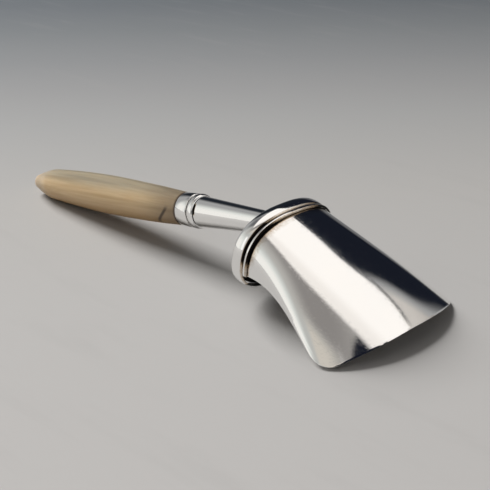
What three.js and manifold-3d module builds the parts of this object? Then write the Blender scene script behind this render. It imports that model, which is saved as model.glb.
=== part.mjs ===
// Silver caddy spoon with a horn handle, resting bowl-down as it does on a table.
// Millimetres, +Z up, the bowl towards +X, standing on Z = 0 over the origin.

import * as THREE from 'three';
import { mergeVertices } from 'three/addons/utils/BufferGeometryUtils.js';
import Module from 'manifold-3d';

// Back plate and the oval it shares with the rear of the bowl
const OVAL_HALF_WIDTH = 13.1;
const OVAL_HALF_HEIGHT = 8.4;
const OVAL_SHOULDER = 0.8;
const PLATE_THICKNESS = 1.1;
const PLATE_RIM_RADIUS = 0.25;

// Solder films between silver pieces, and the fit of the handle in its socket
const SOLDER = 0.15;
const HANDLE_FIT = 0.2;

// Bowl, one raised sheet between a crown line and two side edges
const SHEET = 0.7;
const CROWN_LENGTH = 33.4;
const CROWN_FRONT_HEIGHT = -1.85;
const CROWN_RISE = 1.2;
const SIDE_LENGTH = 29.1;
const SIDE_START_DROP = 2.95;
const CORNER_DROP = 6.3;
const FRONT_HALF_WIDTH = 21.8;
const SIDE_WAIST_REAR = 1.0;
const SIDE_WAIST_FRONT = -2.7;
const SIDE_LIFT_REAR = 2.45;
const SIDE_LIFT_FRONT = 2.65;
const FRONT_SWEEP = 2.56;
const FRONT_FULLNESS = 1.5;
const CORNER_ROUND_LENGTH = 8.65;
const CORNER_ROUND_SHARE = 0.37;

// Wires soldered round the rim
const RIM_WIRE_WIDTH = 3.15;
const RIM_WIRE_HEIGHT = 0.65;
const SEAM_WIRE_WIDTH = 1.1;
const SEAM_WIRE_HEIGHT = 0.5;
const PLATE_SETBACK = 0.8;

// Socket that carries the handle
const SOCKET_ANGLE = 18.65;
const SOCKET_HEIGHT = 3.9;
const SOCKET_LENGTH = 30.15;
const SOCKET_ROOT_RADIUS = 2.35;
const SOCKET_MOUTH_RADIUS = 3.6;
const SOCKET_WALL = 0.5;
const SPIGOT_SEAT_RADIUS = 3.35;
const COLLAR_LENGTH = 3.5;
const COLLAR_RADIUS = 4.0;
const BEAD_WIDTH = 1.9;
const BEAD_RADIUS = 4.1;
const GROOVE = 0.25;

// Horn handle
const HANDLE_LENGTH = 58.0;
const HANDLE_RISE = 0.7;
const HANDLE_SHOULDER_RADIUS = 3.9;
const HANDLE_BELLY_RADIUS = 4.8;
const HANDLE_BELLY_AT = 30.0;
const HANDLE_NECK_RADIUS = 4.45;
const HANDLE_NECK_AT = 11.0;
const BUTT_RADIUS = 3.95;
const BUTT_LENGTH = 7.6;
const BUTT_TIP_RADIUS = 1.9;
const SPIGOT_LENGTH = 14.0;
const CEMENT_THICKNESS = 0.55;

// Facets of the curved faces
const ROUND = 48;
const OVAL_STEPS = 72;
const SHEET_ROWS = 22;
const SHEET_COLUMNS = 44;
const HANDLE_ROWS = 22;

const silver = () => new THREE.MeshStandardMaterial({ color: 0xd9d8d4, roughness: 0.14, metalness: 1 });
const horn = () => new THREE.MeshStandardMaterial({ color: 0xb79f7d, roughness: 0.42, metalness: 0 });
const cement = () => new THREE.MeshStandardMaterial({ color: 0x4a3320, roughness: 0.8, metalness: 0 });

// Turns every triangle outwards
function facingOut(geometry) {
  const p = geometry.getAttribute('position');
  const index = geometry.getIndex().array;
  const a = new THREE.Vector3();
  const b = new THREE.Vector3();
  const c = new THREE.Vector3();
  let volume = 0;
  for (let i = 0; i < index.length; i += 3) {
    a.fromBufferAttribute(p, index[i]);
    b.fromBufferAttribute(p, index[i + 1]);
    c.fromBufferAttribute(p, index[i + 2]);
    volume += a.dot(b.cross(c));
  }
  if (volume < 0) {
    for (let i = 0; i < index.length; i += 3) {
      const keep = index[i + 1];
      index[i + 1] = index[i + 2];
      index[i + 2] = keep;
    }
  }
  geometry.computeVertexNormals();
  return geometry;
}

function fromTriangles(points, index) {
  const geometry = new THREE.BufferGeometry().setFromPoints(points);
  geometry.setIndex(index);
  return facingOut(geometry);
}

// Solid through a row of closed rings, either capped at both ends or joined end to end
function loft(rings, joined) {
  const n = rings[0].length;
  const points = rings.flat();
  const index = [];
  const spans = joined ? rings.length : rings.length - 1;
  for (let i = 0; i < spans; i++) {
    const k = (i + 1) % rings.length;
    for (let j = 0; j < n; j++) {
      const m = (j + 1) % n;
      index.push(i * n + j, i * n + m, k * n + m, i * n + j, k * n + m, k * n + j);
    }
  }
  if (!joined) {
    for (const [row, turn] of [[0, 1], [rings.length - 1, 0]]) {
      const centre = new THREE.Vector3();
      rings[row].forEach((q) => centre.add(q));
      points.push(centre.multiplyScalar(1 / n));
      for (let j = 0; j < n; j++) {
        const m = (j + 1) % n;
        index.push(points.length - 1, row * n + (turn ? m : j), row * n + (turn ? j : m));
      }
    }
  }
  return fromTriangles(points, index);
}

// Sheet between two equal grids of points, closed along its four edges
function sheetBetween(outer, inner) {
  const rings = outer.map((row, i) => [...row, ...[...inner[i]].reverse()]);
  const n = rings[0].length;
  const columns = outer[0].length;
  const index = [];
  for (let i = 0; i < rings.length - 1; i++) {
    for (let j = 0; j < n; j++) {
      const m = (j + 1) % n;
      index.push(i * n + j, i * n + m, (i + 1) * n + m, i * n + j, (i + 1) * n + m, (i + 1) * n + j);
    }
  }
  for (const [row, turn] of [[0, 1], [rings.length - 1, 0]]) {
    for (let j = 0; j < columns - 1; j++) {
      const a = row * n + j;
      const b = a + 1;
      const c = row * n + (n - 1 - j);
      const d = c - 1;
      if (turn) index.push(b, a, c, b, c, d);
      else index.push(a, b, c, b, d, c);
    }
  }
  return fromTriangles(rings.flat(), index);
}

// A power that keeps the sign; it gives the oval its full shoulders
const signedPower = (value, power) => Math.sign(value) * Math.pow(Math.abs(value), power);

// A point of the shared oval, pushed out along its normal; up and across are the oval's own axes
function onOval(angle, out, x) {
  const across = OVAL_HALF_WIDTH * signedPower(Math.cos(angle), OVAL_SHOULDER);
  const up = OVAL_HALF_HEIGHT * signedPower(Math.sin(angle), OVAL_SHOULDER);
  const normal = new THREE.Vector2(
    signedPower(Math.cos(angle), 2 - OVAL_SHOULDER) / OVAL_HALF_WIDTH,
    signedPower(Math.sin(angle), 2 - OVAL_SHOULDER) / OVAL_HALF_HEIGHT);
  normal.normalize();
  return new THREE.Vector3(x, across + normal.x * out, up + normal.y * out);
}

// Half-round section: a flat foot of the given width and a rounded back of the given height
function halfRound(width, height, steps) {
  const section = [];
  for (let i = 0; i <= steps; i++) {
    const a = (Math.PI * i) / steps;
    section.push([-width / 2 + (width / 2) * (1 - Math.cos(a)), height * Math.pow(Math.sin(a), 0.8)]);
  }
  section[0][1] = 0;
  section[steps][1] = 0;
  return section;
}

// Bezier value from its two ends and the two handles between them
function bezier(a, b, c, d, t) {
  const s = 1 - t;
  return a * s * s * s + 3 * b * s * s * t + 3 * c * s * t * t + d * t * t * t;
}

// Where the sheet's side edges leave the oval
const SIDE_ANGLE = Math.asin(Math.pow(SIDE_START_DROP / OVAL_HALF_HEIGHT, 1 / OVAL_SHOULDER));
const REAR_HALF_WIDTH = OVAL_HALF_WIDTH * Math.pow(Math.cos(SIDE_ANGLE), OVAL_SHOULDER);

// Outer face of the bowl: u runs from the plate to the front, s from one side edge to the other
function bowlPoint(u, s) {
  const angle = Math.PI / 2 - s * (Math.PI / 2 + SIDE_ANGLE);
  const lowest = -SIDE_START_DROP / OVAL_HALF_HEIGHT;
  const rearAcross = signedPower(Math.cos(angle), OVAL_SHOULDER) / Math.pow(Math.cos(SIDE_ANGLE), OVAL_SHOULDER);
  const rearUp = (signedPower(Math.sin(angle), OVAL_SHOULDER) - lowest) / (1 - lowest);
  const frontAcross = Math.sin((s * Math.PI) / 2);
  const frontUp = Math.pow(Math.max(Math.cos((s * Math.PI) / 2), 0), FRONT_FULLNESS);
  const across = rearAcross + (frontAcross - rearAcross) * u;
  const up = rearUp + (frontUp - rearUp) * u;
  const halfWidth = bezier(
    REAR_HALF_WIDTH, REAR_HALF_WIDTH + SIDE_WAIST_REAR,
    FRONT_HALF_WIDTH + SIDE_WAIST_FRONT, FRONT_HALF_WIDTH, u);
  const edge = bezier(
    -SIDE_START_DROP, -SIDE_START_DROP + SIDE_LIFT_REAR,
    -CORNER_DROP + SIDE_LIFT_FRONT, -CORNER_DROP, u);
  const crown = OVAL_HALF_HEIGHT + (CROWN_FRONT_HEIGHT - OVAL_HALF_HEIGHT) * u + CROWN_RISE * 4 * u * (1 - u);
  const length = CROWN_LENGTH + (SIDE_LENGTH - CROWN_LENGTH) * Math.pow(Math.abs(frontAcross), FRONT_SWEEP);
  return new THREE.Vector3(length * u, halfWidth * across, edge + (crown - edge) * up);
}

function bowlNormal(u, s) {
  const h = 0.002;
  const u0 = Math.min(Math.max(u, h), 1 - h);
  const s0 = Math.min(Math.max(s, -1 + 2 * h), 1 - 2 * h);
  const along = bowlPoint(u0 + h, s0).sub(bowlPoint(u0 - h, s0));
  const over = bowlPoint(u0, s0 + h).sub(bowlPoint(u0, s0 - h));
  return along.cross(over).normalize();
}

// How far along the sheet reaches at this column: the two front corners are rounded
function reach(s) {
  const d = Math.max((Math.abs(s) - (1 - CORNER_ROUND_SHARE)) / CORNER_ROUND_SHARE, 0);
  return 1 - (CORNER_ROUND_LENGTH / SIDE_LENGTH) * (1 - Math.sqrt(1 - Math.min(d * d, 1)));
}

// Stations along X behind the bowl's visible sheet, which runs on under the seam wire to the plate
const RIM_WIRE_FRONT = -SEAM_WIRE_WIDTH - SOLDER;
const RIM_WIRE_BACK = RIM_WIRE_FRONT - RIM_WIRE_WIDTH;
const PLATE_FRONT = RIM_WIRE_FRONT - PLATE_SETBACK;
const PLATE_BACK = PLATE_FRONT - PLATE_THICKNESS;
const SHEET_REAR = PLATE_FRONT + SOLDER;

function makeBowl() {
  const outer = [];
  const inner = [];
  for (let i = -1; i <= SHEET_ROWS; i++) {
    const outerRow = [];
    const innerRow = [];
    for (let j = 0; j <= SHEET_COLUMNS; j++) {
      const s = Math.sin((Math.PI / 2) * ((2 * j) / SHEET_COLUMNS - 1));
      const u = i < 1 ? 0 : (reach(s) * i) / SHEET_ROWS;
      const point = bowlPoint(u, s);
      const normal = bowlNormal(u, s);
      if (i < 1) {
        normal.setX(0).normalize();
        point.setX(i < 0 ? SHEET_REAR : 0);
      }
      outerRow.push(point);
      innerRow.push(point.clone().addScaledVector(normal, -SHEET));
    }
    outer.push(outerRow);
    inner.push(innerRow);
  }
  return sheetBetween(outer, inner);
}

// Flat oval disc with a softened rim
function makePlate() {
  const rim = [
    [PLATE_BACK, -PLATE_RIM_RADIUS],
    [PLATE_BACK + PLATE_RIM_RADIUS, 0],
    [PLATE_FRONT - PLATE_RIM_RADIUS, 0],
    [PLATE_FRONT, -PLATE_RIM_RADIUS],
  ];
  const rings = rim.map(([x, out]) => {
    const ring = [];
    for (let i = 0; i < OVAL_STEPS; i++) ring.push(onOval((2 * Math.PI * i) / OVAL_STEPS, out, x));
    return ring;
  });
  return loft(rings, false);
}

// Wire of the given section laid on the oval from one angle to another, or all the way round
function makeWire(section, middle, from, to, steps, joined) {
  const rings = [];
  const count = joined ? steps : steps + 1;
  for (let i = 0; i < count; i++) {
    const angle = from + ((to - from) * i) / steps;
    rings.push(section.map(([x, out]) => onOval(angle, SOLDER + out, middle + x)));
  }
  return loft(rings, joined);
}

// Turned solid round the socket's own axis, which runs along -X; profile in pairs of radius, station
function turned(profile) {
  const points = profile.map(([radius, station]) => new THREE.Vector2(radius, station));
  const geometry = new THREE.LatheGeometry(points, ROUND);
  geometry.rotateZ(Math.PI / 2);
  geometry.deleteAttribute('uv');
  geometry.deleteAttribute('normal');
  const merged = mergeVertices(geometry, 1e-4);
  const p = merged.getIndex().array;
  const kept = [];
  for (let i = 0; i < p.length; i += 3) {
    if (p[i] !== p[i + 1] && p[i + 1] !== p[i + 2] && p[i + 2] !== p[i]) kept.push(p[i], p[i + 1], p[i + 2]);
  }
  merged.setIndex(kept);
  return facingOut(merged);
}

const wasm = await Module();
wasm.setup();

function solid(geometry) {
  const plain = geometry.clone();
  plain.deleteAttribute('uv');
  plain.deleteAttribute('normal');
  const merged = mergeVertices(plain, 1e-4);
  return new wasm.Manifold(new wasm.Mesh({
    numProp: 3,
    vertProperties: new Float32Array(merged.getAttribute('position').array),
    triVerts: new Uint32Array(merged.getIndex().array),
  }));
}

function geometryOf(manifold) {
  const mesh = manifold.getMesh();
  const geometry = new THREE.BufferGeometry();
  geometry.setAttribute('position', new THREE.BufferAttribute(new Float32Array(mesh.vertProperties), 3));
  geometry.setIndex([...mesh.triVerts]);
  geometry.computeVertexNormals();
  return geometry;
}

// Stations along the socket's axis, counted from the back face of the plate
const CRANK = THREE.MathUtils.degToRad(SOCKET_ANGLE);
const COLLAR_START = SOCKET_LENGTH - COLLAR_LENGTH;
const BEAD_START = COLLAR_START - GROOVE - BEAD_WIDTH;
const CONE_END = BEAD_START - GROOVE;
const SEAT_BORE = SPIGOT_SEAT_RADIUS - SOCKET_WALL;

// Tapered tube, cut off along the slant of the plate that it is soldered to
function makeSocket() {
  const behind = -2 * SOCKET_ROOT_RADIUS * Math.tan(CRANK) - 1;
  const slope = (SOCKET_MOUTH_RADIUS - SOCKET_ROOT_RADIUS) / CONE_END;
  const rootRadius = SOCKET_ROOT_RADIUS + slope * behind;
  const seatStart = (SEAT_BORE + SOCKET_WALL - SOCKET_ROOT_RADIUS) / slope;
  const profile = [
    [rootRadius - SOCKET_WALL, behind],
    [rootRadius, behind],
    [SOCKET_MOUTH_RADIUS, CONE_END],
    [SPIGOT_SEAT_RADIUS, CONE_END],
    [SPIGOT_SEAT_RADIUS, SOCKET_LENGTH],
    [SEAT_BORE, SOCKET_LENGTH],
    [SEAT_BORE, seatStart],
    [rootRadius - SOCKET_WALL, behind],
  ];
  const tube = solid(turned(profile));
  const size = 8 * SOCKET_MOUTH_RADIUS;
  const plane = new THREE.BoxGeometry(size, size, size);
  plane.translate(size / 2 - SOLDER, 0, 0);
  plane.rotateY(CRANK);
  return geometryOf(tube.subtract(solid(plane)));
}

// Plain band with eased edges at the mouth of the socket
function makeCollar() {
  const ease = GROOVE / 2;
  const inner = SPIGOT_SEAT_RADIUS + SOLDER;
  return turned([
    [inner, COLLAR_START], [COLLAR_RADIUS - ease, COLLAR_START], [COLLAR_RADIUS, COLLAR_START + ease],
    [COLLAR_RADIUS, SOCKET_LENGTH - ease], [COLLAR_RADIUS - ease, SOCKET_LENGTH],
    [inner, SOCKET_LENGTH], [inner, COLLAR_START],
  ]);
}

// Half-round wire between the collar and the cone
function makeBead() {
  const inner = SPIGOT_SEAT_RADIUS + SOLDER;
  const middle = BEAD_START + BEAD_WIDTH / 2;
  const profile = halfRound(BEAD_WIDTH, BEAD_RADIUS - inner, 10).map(([x, out]) => [inner + out, middle + x]);
  return turned([...profile, profile[0]]);
}

// Handle: a spigot in the socket, a shoulder against the collar, a long belly and a blunt butt
const BUTT_START = HANDLE_LENGTH - BUTT_LENGTH;
const SPIGOT_RADIUS = SEAT_BORE - HANDLE_FIT - CEMENT_THICKNESS - HANDLE_FIT;

function handleOutline() {
  const curve = new THREE.SplineCurve([
    new THREE.Vector2(0, HANDLE_SHOULDER_RADIUS),
    new THREE.Vector2(HANDLE_NECK_AT, HANDLE_NECK_RADIUS),
    new THREE.Vector2(HANDLE_BELLY_AT, HANDLE_BELLY_RADIUS),
    new THREE.Vector2(BUTT_START, BUTT_RADIUS),
    new THREE.Vector2(BUTT_START + BUTT_LENGTH * 0.5, (BUTT_RADIUS + BUTT_TIP_RADIUS) / 2 + 0.15),
    new THREE.Vector2(HANDLE_LENGTH - 0.3, BUTT_TIP_RADIUS),
  ]);
  return curve.getPoints(HANDLE_ROWS);
}

function makeHandle() {
  const start = SOCKET_LENGTH + HANDLE_FIT;
  const sections = [
    [start - SPIGOT_LENGTH, SPIGOT_RADIUS - 0.3],
    [start - SPIGOT_LENGTH + 0.5, SPIGOT_RADIUS],
    [start, SPIGOT_RADIUS],
    ...handleOutline().map((q) => [start + q.x, q.y]),
    [start + HANDLE_LENGTH, BUTT_TIP_RADIUS - 0.7],
  ];
  const rings = sections.map(([station, radius]) => {
    const share = THREE.MathUtils.clamp((station - start) / HANDLE_LENGTH, 0, 1);
    const rise = HANDLE_RISE * THREE.MathUtils.smoothstep(share, 0, 1);
    const ring = [];
    for (let j = 0; j < ROUND; j++) {
      const a = (2 * Math.PI * j) / ROUND;
      ring.push(new THREE.Vector3(-station, radius * Math.cos(a), rise + radius * Math.sin(a)));
    }
    return ring;
  });
  return loft(rings, false);
}

// Pitch that holds the spigot in the socket
function makeCement() {
  const inner = SPIGOT_RADIUS + HANDLE_FIT;
  const outer = inner + CEMENT_THICKNESS;
  const from = SOCKET_LENGTH - SPIGOT_LENGTH + 1;
  const to = SOCKET_LENGTH - HANDLE_FIT;
  return turned([[inner, from], [outer, from], [outer, to], [inner, to], [inner, from]]);
}

function piece(name, geometry, material) {
  const mesh = new THREE.Mesh(geometry, material);
  mesh.name = name;
  return mesh;
}

const RIM_WIRE_MIDDLE = (RIM_WIRE_FRONT + RIM_WIRE_BACK) / 2;
const SEAM_WIRE_MIDDLE = -SEAM_WIRE_WIDTH / 2;

const spoon = new THREE.Group();
spoon.add(piece('bowl_sheet', makeBowl(), silver()));
spoon.add(piece('back_plate', makePlate(), silver()));
spoon.add(piece('rim_wire',
  makeWire(halfRound(RIM_WIRE_WIDTH, RIM_WIRE_HEIGHT, 12), RIM_WIRE_MIDDLE, 0, 2 * Math.PI, OVAL_STEPS, true),
  silver()));
spoon.add(piece('seam_wire',
  makeWire(halfRound(SEAM_WIRE_WIDTH, SEAM_WIRE_HEIGHT, 6), SEAM_WIRE_MIDDLE,
    -SIDE_ANGLE, Math.PI + SIDE_ANGLE, OVAL_STEPS / 2, false),
  silver()));

const socket = new THREE.Group();
socket.position.set(PLATE_BACK, 0, SOCKET_HEIGHT);
socket.rotation.y = -CRANK;
socket.add(piece('socket_tube', makeSocket(), silver()));
socket.add(piece('socket_bead', makeBead(), silver()));
socket.add(piece('socket_collar', makeCollar(), silver()));
socket.add(piece('handle', makeHandle(), horn()));
socket.add(piece('handle_cement', makeCement(), cement()));
spoon.add(socket);

// Resting place: both front corners and the butt touch the table
function standingAngle() {
  const bowl = [];
  const grip = [];
  spoon.updateMatrixWorld(true);
  spoon.traverse((object) => {
    if (!object.isMesh) return;
    const p = object.geometry.getAttribute('position');
    for (let i = 0; i < p.count; i++) {
      const q = new THREE.Vector3().fromBufferAttribute(p, i).applyMatrix4(object.matrixWorld);
      (object.name === 'bowl_sheet' ? bowl : grip).push(q);
    }
  });
  let angle = 0;
  for (let round = 0; round < 12; round++) {
    const height = (q) => q.z * Math.cos(angle) - q.x * Math.sin(angle);
    const corner = bowl.reduce((low, q) => (height(q) < height(low) ? q : low));
    const butt = grip.reduce((low, q) => (height(q) < height(low) ? q : low));
    angle = Math.atan2(corner.z - butt.z, corner.x - butt.x);
  }
  return angle;
}

const model = new THREE.Group();
spoon.rotation.y = standingAngle();
model.add(spoon);
model.updateMatrixWorld(true);
const box = new THREE.Box3().setFromObject(model, true);
model.position.set(-(box.min.x + box.max.x) / 2, 0, -box.min.z);
model.updateMatrixWorld(true);

export default model;
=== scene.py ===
import math
import bpy
from mathutils import Matrix, Vector


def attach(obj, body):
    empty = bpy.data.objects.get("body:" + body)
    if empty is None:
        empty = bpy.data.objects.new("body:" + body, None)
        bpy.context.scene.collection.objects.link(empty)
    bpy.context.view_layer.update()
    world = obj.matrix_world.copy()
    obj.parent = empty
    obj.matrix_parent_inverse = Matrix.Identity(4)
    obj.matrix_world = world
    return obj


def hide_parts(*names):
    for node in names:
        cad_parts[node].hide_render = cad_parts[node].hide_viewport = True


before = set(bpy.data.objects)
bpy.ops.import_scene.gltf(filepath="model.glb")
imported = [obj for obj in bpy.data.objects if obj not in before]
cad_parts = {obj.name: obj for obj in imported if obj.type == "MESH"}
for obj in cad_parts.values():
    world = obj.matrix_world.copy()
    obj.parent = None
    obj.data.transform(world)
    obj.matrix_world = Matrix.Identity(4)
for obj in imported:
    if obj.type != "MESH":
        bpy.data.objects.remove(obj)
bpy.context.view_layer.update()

# Bowl: one sheet of sterling silver, 0.7 mm thick, raised into an arch. Its rear edge follows the oval of the
# back plate, its front flattens and flares, the side edges sweep down to two rounded corners. INSIDE keeps
# the ends of the spoon a hair within the solids.
INSIDE = 0.000002
OVAL_HALF_WIDTH = 0.0131
OVAL_HALF_HEIGHT = 0.0084
OVAL_SHOULDER = 0.8
SHEET = 0.0007
CROWN_LENGTH = 0.0334 - INSIDE
CROWN_FRONT_HEIGHT = -0.00185
CROWN_RISE = 0.0012
SIDE_LENGTH = 0.0291
SIDE_START_DROP = 0.00295
CORNER_DROP = 0.0063 - INSIDE
FRONT_HALF_WIDTH = 0.0218
SIDE_WAIST_REAR = 0.0010
SIDE_WAIST_FRONT = -0.0027
SIDE_LIFT_REAR = 0.00245
SIDE_LIFT_FRONT = 0.00265
FRONT_SWEEP = 2.56
FRONT_FULLNESS = 1.5
CORNER_ROUND_LENGTH = 0.00865
CORNER_ROUND_SHARE = 0.37
SHEET_TAIL = 0.0018
EDGE_EASE = 0.00016
ROWS_ALONG = 90
ROWS_ACROSS = 180

# The spoon is modelled in the frame of its back plate, with X square to the plate and Z up the plate. It is
# then laid on the table, tipped until the bowl's two front corners and the butt touch.
STAND_TILT = 0.17839008
PLATE_CENTRE = (0.02877023, 0.0, 0.01077257)
spoon_place = Matrix.Translation(PLATE_CENTRE) @ Matrix.Rotation(STAND_TILT, 4, "Y")


def signed_power(value, power):
    """A power that keeps the sign of what it raises, for the full-shouldered oval."""
    return math.copysign(abs(value) ** power, value)


SIDE_ANGLE = math.asin((SIDE_START_DROP / OVAL_HALF_HEIGHT) ** (1 / OVAL_SHOULDER))
REAR_HALF_WIDTH = OVAL_HALF_WIDTH * math.cos(SIDE_ANGLE) ** OVAL_SHOULDER


def bezier(a, b, c, d, t):
    """Value at a share t of a cubic curve with four control values."""
    s = 1 - t
    return a * s * s * s + 3 * b * s * s * t + 3 * c * s * t * t + d * t * t * t


def bowl_face(along, s):
    """Outer face of the bowl: along runs from the plate to the front, s from one side edge to the other."""
    corner = min(max((abs(s) - 1 + CORNER_ROUND_SHARE) / CORNER_ROUND_SHARE, 0), 1)
    u = along * (1 - (CORNER_ROUND_LENGTH / SIDE_LENGTH) * (1 - math.sqrt(1 - corner * corner)))
    angle = math.pi / 2 - s * (math.pi / 2 + SIDE_ANGLE)
    lowest = -SIDE_START_DROP / OVAL_HALF_HEIGHT
    rear_across = signed_power(math.cos(angle), OVAL_SHOULDER) / math.cos(SIDE_ANGLE) ** OVAL_SHOULDER
    rear_up = (signed_power(math.sin(angle), OVAL_SHOULDER) - lowest) / (1 - lowest)
    front_across = math.sin(s * math.pi / 2)
    front_up = max(math.cos(s * math.pi / 2), 0) ** FRONT_FULLNESS
    across = rear_across + (front_across - rear_across) * u
    up = rear_up + (front_up - rear_up) * u
    half_width = bezier(REAR_HALF_WIDTH, REAR_HALF_WIDTH + SIDE_WAIST_REAR,
                        FRONT_HALF_WIDTH + SIDE_WAIST_FRONT, FRONT_HALF_WIDTH, u)
    edge = bezier(-SIDE_START_DROP, -SIDE_START_DROP + SIDE_LIFT_REAR,
                  -CORNER_DROP + SIDE_LIFT_FRONT, -CORNER_DROP, u)
    crown = OVAL_HALF_HEIGHT + (CROWN_FRONT_HEIGHT - OVAL_HALF_HEIGHT) * u + CROWN_RISE * 4 * u * (1 - u)
    length = CROWN_LENGTH + (SIDE_LENGTH - CROWN_LENGTH) * abs(front_across) ** FRONT_SWEEP
    return Vector((length * u, half_width * across, edge + (crown - edge) * up))


def alone(piece):
    """Makes one piece the only one selected."""
    bpy.ops.object.select_all(action="DESELECT")
    piece.select_set(True)
    bpy.context.view_layer.objects.active = piece


def finish_modifiers(piece):
    """Applies the modifiers of a piece in their order."""
    alone(piece)
    for modifier in list(piece.modifiers):
        bpy.ops.object.modifier_apply(modifier=modifier.name)


def settle(piece, place, smooth_up_to):
    """Moves a piece to its place on the table, leaves that place in its mesh, and shades it smooth."""
    alone(piece)
    piece.matrix_world = place @ piece.matrix_world
    bpy.ops.object.transform_apply(location=True, rotation=True, scale=True)
    bpy.ops.object.shade_smooth_by_angle(angle=math.radians(smooth_up_to))


bpy.ops.object.select_all(action="DESELECT")
bpy.ops.mesh.primitive_grid_add(x_subdivisions=ROWS_ALONG, y_subdivisions=ROWS_ACROSS, size=2)
bowl = bpy.context.object
bowl.name = "bowl"
for vertex in bowl.data.vertices:
    vertex.co = bowl_face((vertex.co.x + 1) / 2, math.sin(vertex.co.y * math.pi / 2))
for vertex in bowl.data.vertices:
    vertex.select = vertex.co.x < 1e-7
for edge in bowl.data.edges:
    edge.select = all(bowl.data.vertices[i].select for i in edge.vertices)
for face in bowl.data.polygons:
    face.select = False
bpy.ops.object.mode_set(mode="EDIT")
bpy.ops.mesh.select_mode(type="EDGE")
bpy.ops.mesh.extrude_edges_move(TRANSFORM_OT_translate={"value": (-SHEET_TAIL, 0, 0)})
bpy.ops.mesh.select_all(action="SELECT")
bpy.ops.mesh.normals_make_consistent(inside=False)
bpy.ops.object.mode_set(mode="OBJECT")
wall = bowl.modifiers.new("wall", "SOLIDIFY")
wall.thickness = SHEET
wall.offset = -1
soft_edge = bowl.modifiers.new("soft edge", "BEVEL")
soft_edge.width = EDGE_EASE
soft_edge.segments = 3
soft_edge.limit_method = "ANGLE"
soft_edge.angle_limit = math.radians(50)
finish_modifiers(bowl)
settle(bowl, spoon_place, smooth_up_to=48)


class Value:
    """A number or a vector on its way through the nodes of one finish."""

    def __init__(self, tree, socket):
        self.tree = tree
        self.socket = socket

    def math(self, operation, *others):
        """A Math node with this value first and others, nodes or plain numbers, after it."""
        node = self.tree.nodes.new("ShaderNodeMath")
        node.operation = operation
        for place, other in enumerate((self,) + others):
            if isinstance(other, Value):
                self.tree.links.new(other.socket, node.inputs[place])
            else:
                node.inputs[place].default_value = other
        return Value(self.tree, node.outputs[0])

    def flipped(self, operation, other):
        """A Math node with a plain number first and this value after it, as in 1 - mask."""
        node = self.tree.nodes.new("ShaderNodeMath")
        node.operation = operation
        node.inputs[0].default_value = other
        self.tree.links.new(self.socket, node.inputs[1])
        return Value(self.tree, node.outputs[0])

    def __add__(self, other):
        return self.math("ADD", other)

    def __radd__(self, other):
        return self.math("ADD", other)

    def __sub__(self, other):
        return self.math("SUBTRACT", other)

    def __rsub__(self, other):
        return self.flipped("SUBTRACT", other)

    def __mul__(self, other):
        return self.math("MULTIPLY", other)

    def __rmul__(self, other):
        return self.math("MULTIPLY", other)

    def __truediv__(self, other):
        return self.math("DIVIDE", other)

    def __rtruediv__(self, other):
        return self.flipped("DIVIDE", other)

    def __abs__(self):
        return self.math("ABSOLUTE")


class Finish:
    """The shader nodes of one material, or of the studio."""

    def __init__(self, name=None, world=None):
        if world is None:
            self.material = bpy.data.materials.new(name)
            self.material.use_nodes = True
            self.tree = self.material.node_tree
            self.shader = self.tree.nodes["Principled BSDF"]
        else:
            world.use_nodes = True
            self.tree = world.node_tree
            self.shader = self.tree.nodes["Background"]

    def node(self, kind, settings=None, sockets=None, out=0):
        """One node of any kind: its settings first, then the values or links of its sockets."""
        node = self.tree.nodes.new(kind)
        for name, setting in (settings or {}).items():
            if name == "stops":
                while len(node.color_ramp.elements) < len(setting):
                    node.color_ramp.elements.new(0.5)
                for element, (position, colour) in zip(node.color_ramp.elements, setting):
                    element.position = position
                    element.color = (*colour, 1)
            else:
                setattr(node, name, setting)
        for name, value in (sockets or {}).items():
            if isinstance(value, Value):
                self.tree.links.new(value.socket, node.inputs[name])
            else:
                node.inputs[name].default_value = value
        return Value(self.tree, node.outputs[out])

    def object_point(self, turn=(0, 0, 0), scale=(1, 1, 1), shift=(0, 0, 0)):
        """The point being shaded, in metres from the frame's origin, moved, turned and stretched."""
        point = self.node("ShaderNodeTexCoord", out=3)
        return self.node("ShaderNodeMapping", sockets={
            "Vector": point, "Location": shift, "Rotation": turn, "Scale": scale})

    def noise(self, point, scale, detail=2.0, rough=0.5, distortion=0.0):
        """Cloudy pattern from 0 to 1."""
        return self.node("ShaderNodeTexNoise", sockets={
            "Vector": point, "Scale": scale, "Detail": detail, "Roughness": rough, "Distortion": distortion})

    def parts(self, point):
        """The x, y and z of a point."""
        split = self.node("ShaderNodeSeparateXYZ", sockets={"Vector": point})
        outputs = split.socket.node.outputs
        return Value(self.tree, outputs[0]), Value(self.tree, outputs[1]), Value(self.tree, outputs[2])

    def ease(self, value, low, high, start=0.0, end=1.0):
        """Smooth step of a value from low to high."""
        return self.node("ShaderNodeMapRange", {"interpolation_type": "SMOOTHSTEP"}, {
            "Value": value, "From Min": low, "From Max": high, "To Min": start, "To Max": end})

    def mix(self, factor, a, b):
        """A mix of two colours, each worked out by nodes or given as red, green and blue."""
        a, b = (colour if isinstance(colour, Value) else (*colour, 1) for colour in (a, b))
        return self.node("ShaderNodeMix", {"data_type": "RGBA"}, {0: factor, 6: a, 7: b}, out=2)

    def bump(self, height, strength, distance, under=None):
        """Small relief on the surface, or on another bump under it."""
        sockets = {"Height": height, "Strength": strength, "Distance": distance}
        if under is not None:
            sockets["Normal"] = under
        return self.node("ShaderNodeBump", sockets=sockets)

    def give(self, name, value):
        """Sets or links one socket of the finish's shader."""
        if isinstance(value, Value):
            self.tree.links.new(value.socket, self.shader.inputs[name])
        else:
            self.shader.inputs[name].default_value = value


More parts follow.
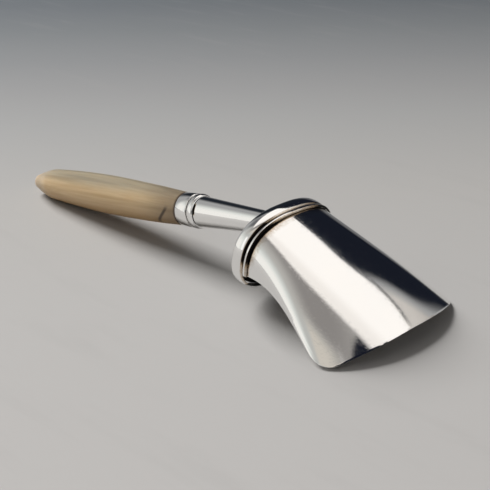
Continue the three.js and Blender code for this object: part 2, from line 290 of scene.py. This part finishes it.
WARM_SILVER = (0.955, 0.945, 0.925)
COOL_SILVER = (0.925, 0.925, 0.920)
PALE_TARNISH = (0.62, 0.50, 0.36)
BROWN_TARNISH = (0.36, 0.25, 0.15)
BLACK_TARNISH_AND_SHADE = (0.012, 0.010, 0.009)
RUBBINGS = (((0.0, 0.35, 0.10), (60, 4200, 4200)),
            ((0.3, -0.2, 0.9), (90, 4600, 4600)),
            ((-0.4, 0.5, -0.4), (70, 3800, 3800)))


def silver(name, brightness=1.0, gloss=0.03, wave=0.25, tarnish_and_shade=None):
    """Polished sterling silver: hand-worked faces, fine scratches from rubbing, dark tarnish in the seams,
    and given marks of painted shade.
    """
    finish = Finish(name)
    finish.give("Metallic", 1.0)
    point = finish.object_point()
    cloud = finish.noise(point, 120, 3, 0.6)
    smear = finish.noise(finish.object_point(turn=(0, 0, 0.5), scale=(60, 260, 260)), 1.0, 3, 0.6)
    hair = None
    for turn, stretch in RUBBINGS:
        line = finish.noise(finish.object_point(turn=turn, scale=stretch), 1.0, 1, 0.5)
        cut = finish.ease(line, 0.62, 0.76)
        hair = cut if hair is None else hair.math("MAXIMUM", cut)
    grain = finish.noise(point, 5200, 2, 0.7)
    rough = gloss + cloud * 0.015 + smear * 0.015 + hair * 0.07 + grain * 0.006
    warm = tuple(brightness * c for c in WARM_SILVER)
    cool = tuple(brightness * c for c in COOL_SILVER)
    colour = finish.mix(cloud, warm, cool)
    if tarnish_and_shade is not None:
        # The mark passed in holds tarnish and painted shade; it turns the colour brown, then black.
        amount = tarnish_and_shade(finish) + (finish.noise(point, 1500, 3, 0.7) - 0.5) * 0.35
        brown = finish.mix(finish.noise(point, 700, 3, 0.7), BROWN_TARNISH, PALE_TARNISH)
        colour = finish.mix(finish.ease(amount, 0.15, 0.6), colour, brown)
        colour = finish.mix(finish.ease(amount, 0.5, 0.85), colour, BLACK_TARNISH_AND_SHADE)
        rough = rough + finish.ease(amount, 0.2, 0.9) * 0.35
    finish.give("Base Color", colour)
    finish.give("Roughness", rough)
    slow = finish.bump(finish.noise(point, 75, 2, 0.4), wave, 0.0002)
    fine = finish.bump(hair, 0.06, 0.00002, slow)
    finish.give("Normal", finish.bump(grain, 0.008, 0.00002, fine))
    return finish.material


def ahead_of_plate(finish):
    """Distance in front of the plane where the bowl starts."""
    from_centre = finish.node("ShaderNodeVectorMath", {"operation": "SUBTRACT"}, {
        0: finish.object_point(), 1: PLATE_CENTRE})
    x, _, z = finish.parts(from_centre)
    return x * math.cos(STAND_TILT) - z * math.sin(STAND_TILT)


def thick_on_shoulder(finish):
    """The seam is blackest on the shoulders of the oval, brown at its foot and on its top."""
    _, _, z = finish.parts(finish.object_point())
    return finish.ease(z, 0.0095, 0.0125, 0.42, 1.0) * finish.ease(z, 0.0180, 0.0197, 1.0, 0.40)


def seam_stain(finish):
    """Tarnish that the polishing cloth can't reach, beside the seam bead, fading over the sheet."""
    ahead = ahead_of_plate(finish)
    near = finish.ease(ahead, 0.0002, 0.0006, 0.6, 0.0) + finish.ease(ahead, 0.0003, 0.0032, 0.42, 0.0)
    return near * thick_on_shoulder(finish)


bowl.data.materials.append(silver("bowl silver", wave=0.12, tarnish_and_shade=seam_stain))
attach(bowl, "root")
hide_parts("bowl_sheet")

# Back plate: a flat oval disc of silver sheet, 1.1 mm thick with an eased rim. It closes the back of the
# bowl, with the bowl's rear edge soldered to its front face.
PLATE_THICKNESS = 0.0011
PLATE_FRONT = -0.00205
PLATE_EASE = 0.00025
PLATE_SIDES = 256


def on_oval(angle, out):
    """A point of the oval that the plate and the bowl share, pushed out square to it."""
    normal = Vector((signed_power(math.cos(angle), 2 - OVAL_SHOULDER) / OVAL_HALF_WIDTH,
                     signed_power(math.sin(angle), 2 - OVAL_SHOULDER) / OVAL_HALF_HEIGHT)).normalized()
    return (OVAL_HALF_WIDTH * signed_power(math.cos(angle), OVAL_SHOULDER) + normal.x * out,
            OVAL_HALF_HEIGHT * signed_power(math.sin(angle), OVAL_SHOULDER) + normal.y * out)


bpy.ops.object.select_all(action="DESELECT")
bpy.ops.mesh.primitive_circle_add(vertices=PLATE_SIDES, radius=1, fill_type="NGON",
                                  location=(PLATE_FRONT, 0, 0), rotation=(0, math.pi / 2, 0))
plate = bpy.context.object
plate.name = "plate"
bpy.ops.object.transform_apply(location=True, rotation=True, scale=True)
for vertex in plate.data.vertices:
    vertex.co.y, vertex.co.z = on_oval(math.atan2(vertex.co.z, vertex.co.y), 0)
bpy.ops.object.mode_set(mode="EDIT")
bpy.ops.mesh.select_all(action="SELECT")
bpy.ops.mesh.extrude_region_move(TRANSFORM_OT_translate={"value": (-PLATE_THICKNESS, 0, 0)})
bpy.ops.mesh.select_all(action="SELECT")
bpy.ops.mesh.normals_make_consistent(inside=False)
bpy.ops.object.mode_set(mode="OBJECT")
eased = plate.modifiers.new("eased rim", "BEVEL")
eased.width = PLATE_EASE
eased.segments = 3
eased.limit_method = "ANGLE"
finish_modifiers(plate)
settle(plate, spoon_place, smooth_up_to=30)


def inner_face_painted_shade(finish):
    """The face inside the bowl is painted near black: painted shade of the hollow under the sheet."""
    return finish.ease(ahead_of_plate(finish), PLATE_FRONT - 0.0003, PLATE_FRONT - 0.0001, 0.0, 0.95)


# The plate's face inside the bowl is painted black as shade.
plate.data.materials.append(silver("plate silver", brightness=0.92, gloss=0.12, tarnish_and_shade=inner_face_painted_shade))
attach(plate, "root")
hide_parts("back_plate")

# Rim wires: drawn half-round silver wire bent round the oval and soldered on. The heavy one goes all round
# the plate, the small one lies in front of it and covers the seam where the bowl's sheet begins.
RIM_WIRE_WIDTH = 0.00315
RIM_WIRE_HEIGHT = 0.00064
SEAM_WIRE_WIDTH = 0.0011
SEAM_WIRE_HEIGHT = 0.00049
HALF_ROUND = 0.8
WIRE_TURNS = 320
SOLDER = 0.00015


def half_round_wire(name, width, height, middle, rounds):
    """A ring whose section is pressed to a half round, bent round the oval of the plate."""
    bpy.ops.object.select_all(action="DESELECT")
    bpy.ops.mesh.primitive_torus_add(major_segments=WIRE_TURNS, minor_segments=rounds,
                                     major_radius=1, minor_radius=0.25)
    wire = bpy.context.object
    wire.name = name
    for vertex in wire.data.vertices:
        angle = math.atan2(vertex.co.y, vertex.co.x)
        section = math.atan2(vertex.co.z, math.hypot(vertex.co.x, vertex.co.y) - 1)
        out = height * max(math.cos(section), 0) ** HALF_ROUND + SOLDER
        vertex.co = (middle + width / 2 * math.sin(section), *on_oval(angle, out))
    alone(wire)
    bpy.ops.object.mode_set(mode="EDIT")
    bpy.ops.mesh.select_all(action="SELECT")
    bpy.ops.mesh.normals_make_consistent(inside=False)
    bpy.ops.object.mode_set(mode="OBJECT")
    return wire


def cut_below_sheet(wire):
    """Cuts away the part of a wire that has no sheet behind it."""
    alone(wire)
    bpy.ops.object.mode_set(mode="EDIT")
    bpy.ops.mesh.select_all(action="SELECT")
    bpy.ops.mesh.bisect(plane_co=(0, 0, -SIDE_START_DROP), plane_no=(0, 0, 1),
                        use_fill=True, clear_inner=True)
    bpy.ops.object.mode_set(mode="OBJECT")


rim_wire = half_round_wire("moulding", RIM_WIRE_WIDTH, RIM_WIRE_HEIGHT,
                           -SEAM_WIRE_WIDTH - SOLDER - RIM_WIRE_WIDTH / 2, rounds=48)
settle(rim_wire, spoon_place, smooth_up_to=40)


def groove_tarnish_and_foot_shade(finish):
    """Black tarnish in the groove beside the seam bead, and black painted shade on the end of the moulding
    where the sheet stops.
    """
    ahead = ahead_of_plate(finish)
    _, _, z = finish.parts(finish.object_point())
    # Painted shade: the end of the moulding under the sheet's edge is painted black, as the hollow there is
    # dark.
    foot_painted_shade = finish.ease(z, 0.0040, 0.0052, 1.4, 0.0) * finish.ease(ahead, -0.0026, -0.0018)
    return finish.ease(ahead, -0.00185, -0.00150) * thick_on_shoulder(finish) + foot_painted_shade


def crest_only(finish):
    """Dark on both sides of the seam bead, bright along its rubbed crest."""
    crest = abs(ahead_of_plate(finish) + SEAM_WIRE_WIDTH / 2)
    return finish.ease(crest, 0.00010, 0.00026) * thick_on_shoulder(finish)


rim_wire.data.materials.append(silver("moulding silver", gloss=0.03, wave=0.06, tarnish_and_shade=groove_tarnish_and_foot_shade))
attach(rim_wire, "root")
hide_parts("rim_wire")

seam_wire = half_round_wire("seam_bead", SEAM_WIRE_WIDTH, SEAM_WIRE_HEIGHT, -SEAM_WIRE_WIDTH / 2, rounds=32)
cut_below_sheet(seam_wire)
settle(seam_wire, spoon_place, smooth_up_to=40)
seam_wire.data.materials.append(silver("seam bead silver", gloss=0.04, wave=0.06, tarnish_and_shade=crest_only))
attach(seam_wire, "root")
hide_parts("seam_wire")

# Socket: a tapered silver tube soldered to the plate at a slant, with a half-round bead and a plain collar
# round its mouth.
SOCKET_ANGLE = math.radians(18.65)
SOCKET_ROOT = (-0.00315, 0, 0.0039)
SOCKET_LENGTH = 0.03015
SOCKET_ROOT_RADIUS = 0.00235
SOCKET_MOUTH_RADIUS = 0.0036
SEAT_RADIUS = 0.00335
SEAT_DEPTH = 0.012
SOCKET_WALL = 0.0005
GROOVE = 0.00025
COLLAR_LENGTH = 0.0035
COLLAR_RADIUS = 0.0040
COLLAR_EASE = 0.000125
BEAD_WIDTH = 0.0019
BEAD_RADIUS = 0.0041
INNER_RADIUS = SEAT_RADIUS + SOLDER
COLLAR_START = SOCKET_LENGTH - COLLAR_LENGTH
BEAD_START = COLLAR_START - GROOVE - BEAD_WIDTH
CONE_END = BEAD_START - GROOVE
CUT_OFF = 0.001
CONE_RINGS = 24
BEAD_RINGS = 16
SOCKET_SIDES = 160
socket_place = spoon_place @ Matrix.Translation(SOCKET_ROOT) @ Matrix.Rotation(-SOCKET_ANGLE, 4, "Y")


def turned(name, profile, sides, rise=lambda station: 0.0):
    """Turns a profile of radii and stations round the socket's axis, ring by ring from a circle."""
    radius, station = profile[0]
    bpy.ops.object.select_all(action="DESELECT")
    bpy.ops.mesh.primitive_circle_add(vertices=sides, radius=radius, location=(-station, 0, rise(station)),
                                      rotation=(0, math.pi / 2, 0))
    piece = bpy.context.object
    piece.name = name
    bpy.ops.object.transform_apply(location=True, rotation=True, scale=True)
    bpy.ops.object.mode_set(mode="EDIT")
    bpy.ops.mesh.select_mode(type="VERT")
    bpy.ops.mesh.select_all(action="SELECT")
    for next_radius, next_station in profile[1:]:
        bpy.ops.mesh.extrude_region_move(TRANSFORM_OT_translate={
            "value": (station - next_station, 0, rise(next_station) - rise(station))})
        grow = next_radius / radius
        bpy.ops.transform.resize(value=(1, grow, grow),
                                 center_override=(-next_station, 0, rise(next_station)))
        radius, station = next_radius, next_station
    bpy.ops.mesh.select_all(action="SELECT")
    bpy.ops.mesh.remove_doubles(threshold=1e-6)
    bpy.ops.mesh.select_all(action="DESELECT")
    bpy.ops.mesh.select_non_manifold()
    bpy.ops.mesh.fill_holes(sides=0)
    bpy.ops.mesh.select_all(action="SELECT")
    bpy.ops.mesh.normals_make_consistent(inside=False)
    bpy.ops.object.mode_set(mode="OBJECT")
    return piece


# The tube starts a little behind the plate and is then cut off along it, at the slant of the real joint.
behind = -2 * SOCKET_ROOT_RADIUS * math.tan(SOCKET_ANGLE) - CUT_OFF
slope = (SOCKET_MOUTH_RADIUS - SOCKET_ROOT_RADIUS) / CONE_END
cone_profile = []
for step in range(CONE_RINGS + 1):
    station = behind + (CONE_END - behind) * step / CONE_RINGS
    cone_profile.append((SOCKET_ROOT_RADIUS + slope * station, station))
tube = turned("socket", cone_profile + [
    (SEAT_RADIUS, CONE_END), (SEAT_RADIUS, SOCKET_LENGTH), (SEAT_RADIUS - SOCKET_WALL, SOCKET_LENGTH),
    (SEAT_RADIUS - SOCKET_WALL, SOCKET_LENGTH - SEAT_DEPTH), (cone_profile[0][0] - SOCKET_WALL, behind),
    cone_profile[0]], SOCKET_SIDES)
alone(tube)
bpy.ops.object.mode_set(mode="EDIT")
bpy.ops.mesh.select_all(action="SELECT")
bpy.ops.mesh.bisect(plane_co=(-SOLDER, 0, 0), plane_no=(math.cos(SOCKET_ANGLE), 0, -math.sin(SOCKET_ANGLE)),
                    use_fill=False, clear_outer=True)
bpy.ops.object.mode_set(mode="OBJECT")
settle(tube, socket_place, smooth_up_to=30)


def along_socket(finish):
    """A point in the socket's own axes: X towards the bowl, Z up across it."""
    moved = finish.object_point(shift=tuple(-c for c in socket_place.translation))
    return finish.node("ShaderNodeMapping", sockets={
        "Vector": moved, "Rotation": (0, SOCKET_ANGLE - STAND_TILT, 0)})


def bead_painted_shadow(finish):
    """A black painted shadow beside the bead, on the upper half of one side."""
    x, y, z = finish.parts(along_socket(finish))
    patch = finish.ease(z, -0.0002, 0.0008) * finish.ease(z, 0.0020, 0.0030, 1.0, 0.0)
    one_side = patch * finish.ease(y, 0.0, -0.0005)
    return finish.ease(x * -1, CONE_END - 0.00055, CONE_END - 0.00025) * one_side * 1.2


# The socket carries a black painted shadow mark beside its bead.
tube.data.materials.append(silver("socket silver", gloss=0.04, wave=0.06, tarnish_and_shade=bead_painted_shadow))
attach(tube, "root")
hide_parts("socket_tube")

# Bead: half-round wire bent into a ring and soldered round the tube.
bead_profile = [(INNER_RADIUS, BEAD_START)]
for step in range(1, BEAD_RINGS):
    angle = math.pi * step / BEAD_RINGS
    bead_profile.append((INNER_RADIUS + (BEAD_RADIUS - INNER_RADIUS) * math.sin(angle) ** HALF_ROUND,
                         BEAD_START + BEAD_WIDTH / 2 * (1 - math.cos(angle))))
bead_profile.append((INNER_RADIUS, BEAD_START + BEAD_WIDTH))
bead = turned("mouth_bead", bead_profile + [bead_profile[0]], SOCKET_SIDES)
settle(bead, socket_place, smooth_up_to=40)
bead.data.materials.append(silver("bead silver", gloss=0.035, wave=0.05))
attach(bead, "root")
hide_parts("socket_bead")

# Collar: a plain band at the mouth, its two outer edges rounded.
collar_profile = [(INNER_RADIUS, COLLAR_START)]
for end, inwards in ((COLLAR_START, 1), (SOCKET_LENGTH, -1)):
    rounded = [(COLLAR_RADIUS - COLLAR_EASE, end),
               (COLLAR_RADIUS - COLLAR_EASE * 0.3, end + inwards * COLLAR_EASE * 0.3),
               (COLLAR_RADIUS, end + inwards * COLLAR_EASE)]
    collar_profile += rounded[::inwards]
collar_profile += [(INNER_RADIUS, SOCKET_LENGTH), (INNER_RADIUS, COLLAR_START)]
collar = turned("collar", collar_profile, SOCKET_SIDES)
settle(collar, socket_place, smooth_up_to=50)
collar.data.materials.append(silver("collar silver", gloss=0.04, wave=0.05))
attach(collar, "root")
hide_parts("socket_collar")

# Handle: pale horn, turned and scraped to a long belly and a blunt butt, with a spigot set in the socket. It
# is streaky, tan below and greyer on top, and smoky with one curling dark mark near the collar. The bands of
# colour by height are painted light and shade: darker below and on top, paler in the middle, and the butt is
# painted greyer and darker.
# OUTLINE holds distances along the handle with the radius at each.
HANDLE_FIT = 0.0002
HANDLE_LENGTH = 0.058
HANDLE_RISE = 0.0007
HANDLE_START = SOCKET_LENGTH + HANDLE_FIT
OUTLINE = [(0.0, 0.0039), (0.011, 0.00445), (0.030, 0.0048), (0.0504, 0.00395), (0.0542, 0.003075),
           (0.0577, 0.0019)]
OUTLINE_LENGTH = OUTLINE[-1][0]
OUTLINE_RINGS = 60
BUTT_EASE = 0.00012
BUTT_EASE_RADIUS = 0.0016
BUTT_RADIUS = 0.0012
SPIGOT_RADIUS = 0.002
SPIGOT_LENGTH = 0.014
SPIGOT_POINT = 0.0005
SPIGOT_EASE = 0.0003
HANDLE_SIDES = 128


def handle_radius(t):
    """Radius of the handle at a share t of its length, on a smooth curve through its outline."""
    x = t * OUTLINE_LENGTH
    i = max(k for k in range(len(OUTLINE) - 1) if OUTLINE[k][0] <= x + 1e-9)
    (x0, r0), (x1, r1) = OUTLINE[i], OUTLINE[i + 1]
    before = OUTLINE[i - 1] if i > 0 else None
    after = OUTLINE[i + 2] if i + 2 < len(OUTLINE) else None
    s0 = (r1 - before[1]) / (x1 - before[0]) if before else (r1 - r0) / (x1 - x0)
    s1 = (after[1] - r0) / (after[0] - x0) if after else (r1 - r0) / (x1 - x0)
    span = x1 - x0
    return bezier(r0, r0 + s0 * span / 3, r1 - s1 * span / 3, r1, (x - x0) / span)


def handle_rise(station):
    """The handle bends up a little towards its butt."""
    f = min(max((station - HANDLE_START) / HANDLE_LENGTH, 0), 1)
    return HANDLE_RISE * f * f * (3 - 2 * f)


butt_end = HANDLE_START + HANDLE_LENGTH
handle_profile = [(SPIGOT_RADIUS - SPIGOT_EASE, HANDLE_START - SPIGOT_LENGTH),
                  (SPIGOT_RADIUS, HANDLE_START - SPIGOT_LENGTH + SPIGOT_POINT),
                  (SPIGOT_RADIUS, HANDLE_START)]
for ring in range(OUTLINE_RINGS + 1):
    share = ring / OUTLINE_RINGS
    handle_profile.append((handle_radius(share), HANDLE_START + OUTLINE_LENGTH * share))
handle_profile += [(BUTT_EASE_RADIUS, butt_end - BUTT_EASE), (BUTT_RADIUS, butt_end - INSIDE)]
handle = turned("horn_handle", handle_profile, HANDLE_SIDES, handle_rise)
settle(handle, socket_place, smooth_up_to=40)

horn = Finish("pale horn")
along_handle = along_socket(horn)
hx, hy, hz = horn.parts(along_handle)


def drawn_out(along, across, detail, rough, distortion=0.0):
    """Streaks that run along the horn: along and across say how fine they are in each direction."""
    point = horn.node("ShaderNodeMapping", sockets={"Vector": along_handle, "Scale": (along, across, across)})
    return horn.noise(point, 1.0, detail, rough, distortion)


streaks = drawn_out(25, 620, 4, 0.6, 0.4)
broad = drawn_out(25, 130, 3, 0.55, 0.3)
fibres = drawn_out(90, 2600, 3, 0.6)
past_collar = hx * -1 - SOCKET_LENGTH
# Painted light and shade: the horn is coloured in bands by height, darker below and on top, paler between.
low_band_painted_shade = horn.mix(streaks, (0.41, 0.255, 0.12), (0.52, 0.345, 0.175))
middle_band_painted_light = horn.mix(horn.ease(streaks, 0.30, 0.70), (0.57, 0.39, 0.20), (0.74, 0.55, 0.32))
top_band_painted_shade = horn.mix(horn.ease(streaks, 0.30, 0.70), (0.22, 0.185, 0.125), (0.335, 0.28, 0.195))
body = horn.mix(horn.ease(hz, -0.0030, 0.0012), low_band_painted_shade, middle_band_painted_light)
body = horn.mix(horn.ease(hz, 0.0018, 0.0046), body, top_band_painted_shade)
smoky = horn.ease(past_collar + broad * 0.006, 0.002, 0.018, 0.62, 0.0)
body = horn.mix(smoky, body, (0.11, 0.085, 0.062))
# Painted shade: the butt is painted greyer and darker, against the lamp behind it.
grey_butt_painted_shade = horn.ease(past_collar, 0.0490, 0.0545) * 0.5
body = horn.mix(grey_butt_painted_shade, body, (0.24, 0.215, 0.19))
from_curl = abs(past_collar - 0.0074 + horn.ease(hz, -0.0042, 0.0016) * 0.0042 + broad * 0.0006)
curl_reach = horn.ease(hz, -0.0036, -0.0028) * horn.ease(hz, 0.0002, 0.0018, 1.0, 0.0)
curl = horn.ease(from_curl, 0.00015, 0.00085, 1.0, 0.0) * curl_reach * horn.ease(hy, 0.0, -0.0005)
body = horn.mix(curl * 0.95, body, (0.07, 0.042, 0.022))
joint = horn.ease(past_collar, 0.0003, 0.0009, 0.85, 0.0)
body = horn.mix(joint, body, (0.06, 0.035, 0.02))
horn.give("Base Color", body)
horn.give("Roughness", 0.34 + fibres * 0.12)
horn.give("Subsurface Weight", 0.12)
horn.give("Subsurface Radius", (0.004, 0.0025, 0.0012))
horn.give("Normal", horn.bump(fibres, 0.12, 0.00004))
handle.data.materials.append(horn.material)
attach(handle, "root")
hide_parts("handle")

# Pitch: dark brown resin, run in hot round the spigot to hold it in the socket. It stays hidden inside the
# socket, so its solid is used as it is.
pitch = Finish("pitch")
clots = pitch.noise(pitch.object_point(), 900, 3, 0.6)
pitch.give("Base Color", pitch.mix(clots, (0.03, 0.018, 0.010), (0.07, 0.042, 0.024)))
pitch.give("Roughness", 0.5 + clots * 0.3)
pitch.give("Normal", pitch.bump(clots, 0.4, 0.0001))
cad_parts["handle_cement"].data.materials.clear()
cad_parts["handle_cement"].data.materials.append(pitch.material)

# Table: a wide pale sheet of paper with no edge in view and faint creases. Its colour darkens with distance
# behind the spoon as painted shade, and the creases are painted shade lines.
TABLE_SIZE = 6.0
TONE_START = -0.15
TONE_LENGTH = 0.55
bpy.ops.object.select_all(action="DESELECT")
bpy.ops.mesh.primitive_plane_add(size=TABLE_SIZE, location=(0, 0, 0))
table = bpy.context.object
table.name = "table"
paper = Finish("table paper")
px, py, _ = paper.parts(paper.object_point())
away = px * -0.77 + py * 0.638
# Painted shade: the paper's colour darkens with distance behind the spoon.
falloff_painted_shade = {"stops": [
    (0.0, (0.585, 0.565, 0.548)), (0.23, (0.480, 0.467, 0.453)), (0.34, (0.424, 0.412, 0.397)),
    (0.47, (0.320, 0.318, 0.314)), (0.54, (0.263, 0.262, 0.262)), (0.62, (0.203, 0.207, 0.211)),
    (0.72, (0.145, 0.153, 0.159)), (0.82, (0.103, 0.112, 0.121)), (1.0, (0.065, 0.072, 0.082))]}
tone_and_painted_falloff = paper.node("ShaderNodeValToRGB", falloff_painted_shade, {"Fac": (away - TONE_START) / TONE_LENGTH})
fleck = paper.noise(paper.object_point(), 400, 3, 0.6)
crease_painted_shade = paper.noise(paper.object_point(turn=(0, 0, 0.76), scale=(22, 110, 22)), 1.0, 4, 0.6)
# Flecks are specks in the paper; the crease lines are painted shade.
flecks_and_crease_shade = fleck * 0.03 + paper.ease(crease_painted_shade, 0.52, 0.75) * 0.08
paper.give("Base Color", paper.mix(flecks_and_crease_shade, tone_and_painted_falloff, (0.30, 0.29, 0.28)))
paper.give("Roughness", 0.6)
paper.give("Specular IOR Level", 0.2)
table.data.materials.append(paper.material)

# Studio: what the silver mirrors, painted on the sky by direction. A wide white cloth hangs overhead on the
# far side, with grey ceiling on the near side of it and a dark beam at the front right. Behind the spoon is a
# dark doorway with pale walls beside it, a window is at the left, and a dark curtain is behind the camera.
LAMP_WHITE = (1.0, 0.99, 0.97)
studio = bpy.data.worlds.new("studio")
bpy.context.scene.world = studio
room = Finish(world=studio)
direction = room.node("ShaderNodeTexCoord", out=0)
dx, dy, dz = room.parts(direction)
degrees = 180 / math.pi
height = dz.math("ARCSINE") * degrees
turn = (dy * -1).math("ARCTAN2", dx * -1) * degrees
up_only = dz.math("MAXIMUM", 0.02)
over_x = dx / up_only
over_y = dy / up_only
beside_cloth = over_x * 0.70 - over_y * 0.71


def between(value, low, high, soft):
    """1 from low to high and 0 outside, with soft ends."""
    return room.ease(value, low - soft, low + soft) * room.ease(value, high - soft, high + soft, 1.0, 0.0)


# Round the sides, in degrees: turn is 0 beyond the butt, 90 on the near side and 180 in front of the bowl.
light = room.mix(room.ease(height, 40, 62), (0.36, 0.36, 0.36), (0.13, 0.13, 0.135))
left_wall = room.mix(room.ease(height, 28, 50), (0.72, 0.74, 0.71), (0.50, 0.50, 0.48))
light = room.mix(room.ease(turn, 8, 36), light, left_wall)
window = between(turn, 24, 62, 13.0) * between(height, -25, 27, 10.0)
light = room.mix(window, light, (0.90, 0.885, 0.845))
front_lamp = between(turn, 70, 88, 4.0) * between(height, -25, 44, 5.0)
light = room.mix(front_lamp, light, LAMP_WHITE)
front_room = room.ease(turn, 84, 92) * room.ease(height, 44, 52, 1.0, 0.0)
light = room.mix(front_room, light, (0.55, 0.54, 0.52))
curtain = between(turn, 118, 170, 6.0) * between(height, -25, 16, 4.0)
light = room.mix(curtain, light, (0.05, 0.05, 0.055))
right_wall = room.ease(turn, -118, -126) * room.ease(height, 14, 22) * room.ease(turn, -184, -180)
right_wall = right_wall.math("MAXIMUM", room.ease(turn, 165, 175) * room.ease(height, 14, 22))
light = room.mix(right_wall, light, LAMP_WHITE)
pale_wall = between(turn, -124, -98, 2.0) * room.ease(height, 44, 48, 1.0, 0.0)
wall_tone = room.mix(room.ease(height, 12, 38), (0.22, 0.20, 0.19), (0.60, 0.565, 0.53))
light = room.mix(pale_wall, light, wall_tone)
doorway_side = turn + room.ease(height, -2, 30, 13.0, 0.0) * -1
doorway = room.ease(doorway_side, -97, -92) * room.ease(turn, -30, -8, 1.0, 0.0)
sill = height + room.ease(turn, -76, -68) * -12
doorway_tone = room.mix(room.ease(sill, -9, 5), (0.17, 0.17, 0.175), (0.009, 0.011, 0.018))
doorway_tone = room.mix(room.ease(turn, -66, -42) * 0.5, doorway_tone, (0.022, 0.027, 0.032))
light = room.mix(doorway * room.ease(height, 44, 50, 1.0, 0.0), light, doorway_tone)

# Overhead, as on a flat ceiling one metre up that is measured along the spoon and across it.
ceiling_grey = room.mix(room.ease(height, 50, 80), (0.46, 0.445, 0.42), (0.26, 0.245, 0.235))
grey_strip = between(beside_cloth, -0.08, 0.215, 0.035) * room.ease(height, 42, 54)
light = room.mix(room.ease(beside_cloth, 0.18, 0.25) * room.ease(height, 54, 66), light, (0.60, 0.56, 0.50))
light = room.mix(grey_strip, light, ceiling_grey)
far_edge = over_y - room.ease(over_x, -0.08, 0.28, 0.925, 1.14)
left_edge = over_x + over_y * 0.33
beam = between(over_x, 0.335, 1.0, 0.014) * room.ease(over_y, -0.35, -0.25)
light = room.mix(beam * room.ease(beside_cloth, 0.02, 0.04), light, (0.006, 0.008, 0.016))
cloth = room.ease(beside_cloth, -0.015, 0.032, 1.0, 0.0) * room.ease(far_edge, -0.02, 0.02, 1.0, 0.0)
cloth = cloth * room.ease(left_edge, -0.40, -0.30) * room.ease(over_x, 0.60, 0.80, 1.0, 0.0)
cloth = cloth * room.ease(dz, 0.4, 0.5)
cloth_tone = room.mix(room.ease(beside_cloth, -0.20, -0.06), (1.05, 1.01, 0.97), (0.93, 0.885, 0.84))
light = room.mix(cloth, light, cloth_tone)
cornice = between(far_edge, 0.015, 0.075, 0.015) * between(over_x, 0.02, 0.36, 0.05)
light = room.mix(cornice * 0.8, light, (0.10, 0.10, 0.105))

# Only reflections see that room. All else gets a plain soft light, brightest from the left of the picture.
in_metal = room.node("ShaderNodeLightPath", out=3)
facing = room.ease(dy * -0.60 + dx * -0.80, -0.1, 0.9)
soft_light = room.mix(facing, (0.015, 0.015, 0.018), (0.72, 0.71, 0.69))
room.give("Color", room.mix(in_metal, soft_light, light))
room.give("Strength", 1.0)

# Key: one wide soft lamp behind the handle, 33 degrees up, which the silver doesn't mirror.
LAMP_PLACE = (-1.0, 0.11, 0.645)
LAMP_WIDTH = 0.58
LAMP_HEIGHT = 0.45
LAMP_POWER = 25
key_data = bpy.data.lights.new("key", "AREA")
key_data.shape = "RECTANGLE"
key_data.size = LAMP_WIDTH
key_data.size_y = LAMP_HEIGHT
key_data.energy = LAMP_POWER
key = bpy.data.objects.new("key", key_data)
bpy.context.scene.collection.objects.link(key)
key.location = LAMP_PLACE
key.rotation_euler = (-key.location).to_track_quat("-Z", "Y").to_euler()
key.visible_glossy = False

# Camera: above the front right of the spoon, 44 degrees round from its side and 23 degrees up.
CAMERA_PLACE = (0.17171, -0.16326, 0.10465)
AZIMUTH = math.radians(43.77)
ELEVATION = math.radians(23.31)
ROLL = math.radians(0.25)
SENSOR = 36
FOCAL_PIXELS = 1100
PICTURE_PIXELS = 490
level = Vector((math.sin(AZIMUTH), -math.cos(AZIMUTH), 0)) * math.cos(ELEVATION)
back = level + Vector((0, 0, math.sin(ELEVATION)))
right = Vector((math.cos(AZIMUTH), math.sin(AZIMUTH), 0))
right.rotate(Matrix.Rotation(ROLL, 3, back))
over = back.cross(right)
camera_data = bpy.data.cameras.new("camera")
camera_data.sensor_width = SENSOR
camera_data.lens = SENSOR * FOCAL_PIXELS / PICTURE_PIXELS
camera_data.clip_start = 0.01
camera_data.clip_end = 20
camera = bpy.data.objects.new("camera", camera_data)
bpy.context.scene.collection.objects.link(camera)
camera_turn = Matrix((right, over, back)).transposed().to_4x4()
camera.matrix_world = Matrix.Translation(CAMERA_PLACE) @ camera_turn
bpy.context.scene.camera = camera
bpy.context.scene.view_settings.view_transform = "Standard"
